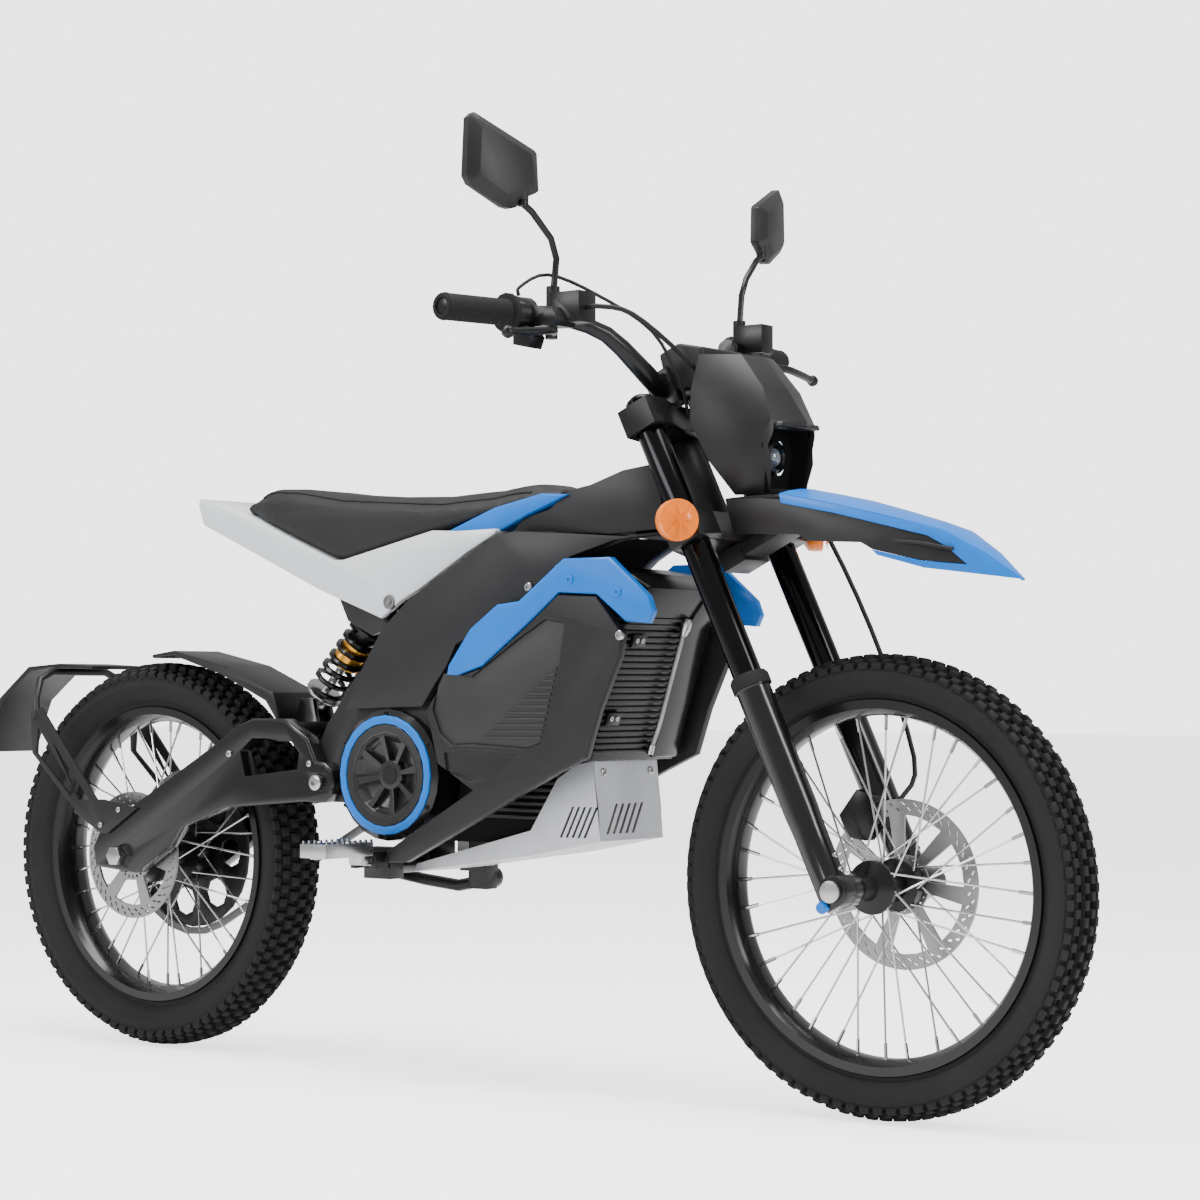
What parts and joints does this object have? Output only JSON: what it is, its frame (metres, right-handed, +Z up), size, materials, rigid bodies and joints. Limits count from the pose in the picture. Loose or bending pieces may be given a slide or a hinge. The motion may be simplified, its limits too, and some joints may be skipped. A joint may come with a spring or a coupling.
{
  "type": "electric off-road motorcycle",
  "caption": "Electric enduro motorcycle with spoked wheels, long-travel fork, sprung swingarm, chain drive, battery frame, bench seat and folding controls.",
  "frame": {"origin": "centre of the overall box on the ground under the tyres", "axes": "+X forward along the length, +Y to the rider's left, +Z up"},
  "size_m": [2.0515, 0.8138, 1.3414],
  "materials": {
    "charcoal": "fine-grained moulded plastic and powder coat",
    "black_plastic": "gloss black plastic",
    "black_metal": "black anodised or painted metal",
    "blue": "satin azure plastic",
    "silver": "bright machined metal",
    "skid": "brushed aluminium sheet",
    "white": "light grey gloss plastic",
    "seat": "grained dark vinyl",
    "rubber": "matte black rubber",
    "tyre": "knobbly tyre rubber",
    "orange": "orange lens",
    "cast_grey": "grey cast metal"
  },
  "bodies": {
    "frame": {"main_frame": "charcoal", "battery_pack": "charcoal", "side_cover_right": "charcoal", "side_cover_left": "charcoal", "side_trim_right": "blue", "side_trim_left": "blue", "skid_plate": "skid", "motor": "black_metal", "motor_ring": "blue", "tank_cover": "charcoal", "seat": "seat", "tail_cowl": "white", "peg_carrier": "black_metal"},
    "steering": {"lower_clamp": "black_metal", "upper_clamp": "black_metal", "stanchion_right": "black_metal", "stanchion_left": "black_metal", "handlebar": "black_metal", "left_grip": "rubber", "right_control": "black_metal", "left_control": "black_metal", "headlight_mask": "black_plastic", "headlamp": "cast_grey", "front_fender": "black_plastic", "fender_blade": "blue", "indicator_right": "orange", "indicator_left": "orange", "front_brake_hose": "rubber", "control_cable": "rubber"},
    "throttle_grip": {"throttle_grip": "rubber"},
    "brake_lever_right": {"brake_lever_right": "black_metal"},
    "brake_lever_left": {"brake_lever_left": "black_metal"},
    "mirror_right": {"mirror_right": "charcoal"},
    "mirror_left": {"mirror_left": "charcoal"},
    "start_button": {"start_button": "cast_grey"},
    "fork_lower": {"fork_leg_right": "black_metal", "fork_leg_left": "black_metal", "front_axle": "silver", "front_caliper": "cast_grey"},
    "front_wheel": {"front_tyre": "tyre", "front_wheel_core": "black_metal", "front_disc": "silver"},
    "swingarm": {"swingarm": "black_metal", "rear_axle": "silver", "rear_caliper": "cast_grey", "fender_stay": "black_metal", "rear_fender": "black_plastic", "hugger": "charcoal", "chain": "black_metal"},
    "rear_wheel": {"rear_tyre": "tyre", "rear_wheel_core": "black_metal", "rear_disc": "silver", "rear_sprocket": "silver"},
    "shock_body": {"shock_body": "black_metal", "shock_spring": "black_metal"},
    "shock_rod": {"shock_rod": "silver"},
    "foot_peg_right": {"foot_peg_right": "silver"},
    "foot_peg_left": {"foot_peg_left": "silver"},
    "side_stand": {"side_stand": "black_metal"},
    "drive_sprocket": {"drive_sprocket": "black_metal"}
  },
  "joints": [
    {"name": "steering_turn", "type": "hinge", "parent": "frame", "child": "steering", "pos_m": [0.41859, 0, 0.8345], "axis": [-0.4289, 0, 0.9033], "range_deg": [-35, 35]},
    {"name": "fork_slide", "type": "slide", "parent": "steering", "child": "fork_lower", "axis": [-0.4289, 0, 0.9033], "range_m": [0, 0.15], "stiffness_N_per_m": 9000, "springref_m": -0.08, "deforming": ["front_brake_hose"]},
    {"name": "front_wheel_spin", "type": "hinge", "parent": "fork_lower", "child": "front_wheel", "pos_m": [0.71475, 0, 0.311], "axis": [0, 1, 0], "continuous": true},
    {"name": "swingarm_swing", "type": "hinge", "parent": "frame", "child": "swingarm", "pos_m": [-0.21175, 0, 0.434], "axis": [0, 1, 0], "range_deg": [0, 20], "stiffness_Nm_per_rad": 4000, "springref_deg": -11.46},
    {"name": "rear_wheel_spin", "type": "hinge", "parent": "swingarm", "child": "rear_wheel", "pos_m": [-0.64275, 0, 0.309], "axis": [0, 1, 0], "continuous": true},
    {"name": "drive_sprocket_spin", "type": "hinge", "parent": "frame", "child": "drive_sprocket", "pos_m": [-0.21175, 0.062, 0.434], "axis": [0, 1, 0], "continuous": true},
    {"name": "shock_pivot", "type": "hinge", "parent": "frame", "child": "shock_body", "pos_m": [-0.17175, 0, 0.7], "axis": [0, 1, 0], "range_deg": [-6, 2]},
    {"name": "shock_stroke", "type": "slide", "parent": "shock_body", "child": "shock_rod", "axis": [0.6902, 0, 0.7236], "range_m": [0, 0.06], "deforming": ["shock_spring"]},
    {"name": "throttle_turn", "type": "hinge", "parent": "steering", "child": "throttle_grip", "pos_m": [0.29625, -0.281, 1.083], "axis": [-0.1122, -0.9934, -0.024], "range_deg": [0, 65], "stiffness_Nm_per_rad": 0.25, "springref_deg": -17.19},
    {"name": "brake_lever_right_pull", "type": "hinge", "parent": "steering", "child": "brake_lever_right", "pos_m": [0.34625, -0.25, 1.055], "axis": [0, 0, -1], "range_deg": [0, 18], "stiffness_Nm_per_rad": 3, "springref_deg": -8.59},
    {"name": "brake_lever_left_pull", "type": "hinge", "parent": "steering", "child": "brake_lever_left", "pos_m": [0.34625, 0.25, 1.055], "axis": [0, 0, 1], "range_deg": [0, 18], "stiffness_Nm_per_rad": 3, "springref_deg": -8.59},
    {"name": "mirror_right_turn", "type": "hinge", "parent": "steering", "child": "mirror_right", "pos_m": [0.32725, -0.288, 1.24], "axis": [0, 0, 1], "range_deg": [-20, 20]},
    {"name": "mirror_left_turn", "type": "hinge", "parent": "steering", "child": "mirror_left", "pos_m": [0.32725, 0.288, 1.24], "axis": [0, 0, 1], "range_deg": [-20, 20]},
    {"name": "start_button_press", "type": "slide", "parent": "steering", "child": "start_button", "axis": [0, 0, -1], "range_m": [0, 0.003], "stiffness_N_per_m": 300, "springref_m": -0.002},
    {"name": "foot_peg_right_fold", "type": "hinge", "parent": "frame", "child": "foot_peg_right", "pos_m": [-0.07775, -0.142, 0.325], "axis": [-1, 0, 0], "range_deg": [0, 60], "stiffness_Nm_per_rad": 0.6, "springref_deg": -34.38},
    {"name": "foot_peg_left_fold", "type": "hinge", "parent": "frame", "child": "foot_peg_left", "pos_m": [-0.07775, 0.142, 0.325], "axis": [1, 0, 0], "range_deg": [0, 60], "stiffness_Nm_per_rad": 0.6, "springref_deg": -34.38},
    {"name": "side_stand_fold", "type": "hinge", "parent": "frame", "child": "side_stand", "pos_m": [-0.07775, 0.142, 0.284], "axis": [0, -1, 0], "range_deg": [0, 100]}
  ],
  "couplings": [
    {"joint": "drive_sprocket_spin", "follows": "rear_wheel_spin", "ratio": 4},
    {"joint": "shock_pivot", "follows": "swingarm_swing", "ratio": -0.231},
    {"joint": "shock_stroke", "follows": "swingarm_swing", "m_per_rad": 0.1483}
  ]
}
